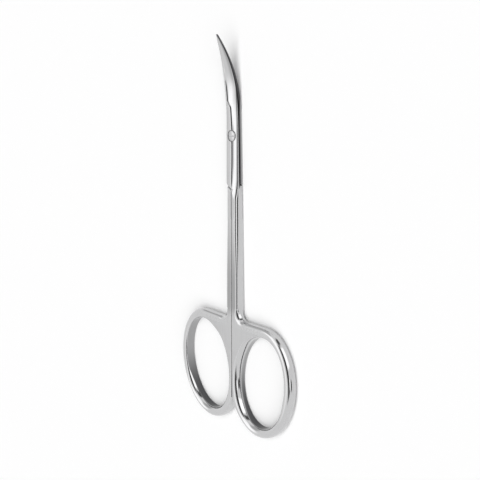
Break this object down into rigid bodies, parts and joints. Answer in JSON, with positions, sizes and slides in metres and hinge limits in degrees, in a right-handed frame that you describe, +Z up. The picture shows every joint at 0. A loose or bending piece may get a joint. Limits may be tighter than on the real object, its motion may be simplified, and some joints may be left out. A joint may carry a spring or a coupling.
{
  "type": "cuticle scissors",
  "caption": "Slim steel cuticle scissors with curved pointed blades, a slotted pivot screw, straight shanks and oval finger rings; the halves swing open about the screw.",
  "frame": {"origin": "where the pivot axis meets the plane that the closed scissors lie on, at the flat end of the screw", "axes": "+Z up out of the front face along the pivot axis, +Y along the scissors to the tips, +X to the right, on the side of the front half's ring"},
  "size_m": [0.0532, 0.1114, 0.0068],
  "materials": {
    "forged_steel": "polished round the rings and edges, satin with a fine lengthwise grain on the flats",
    "screw_steel": "turned and polished"
  },
  "bodies": {
    "back": {"back_half": "forged_steel", "pivot_screw": "screw_steel"},
    "front": {"front_half": "forged_steel"}
  },
  "joints": [
    {"name": "pivot", "type": "hinge", "parent": "back", "child": "front", "pos_m": [0, 0, 0], "axis": [0, 0, 1], "range_deg": [0, 60]}
  ]
}
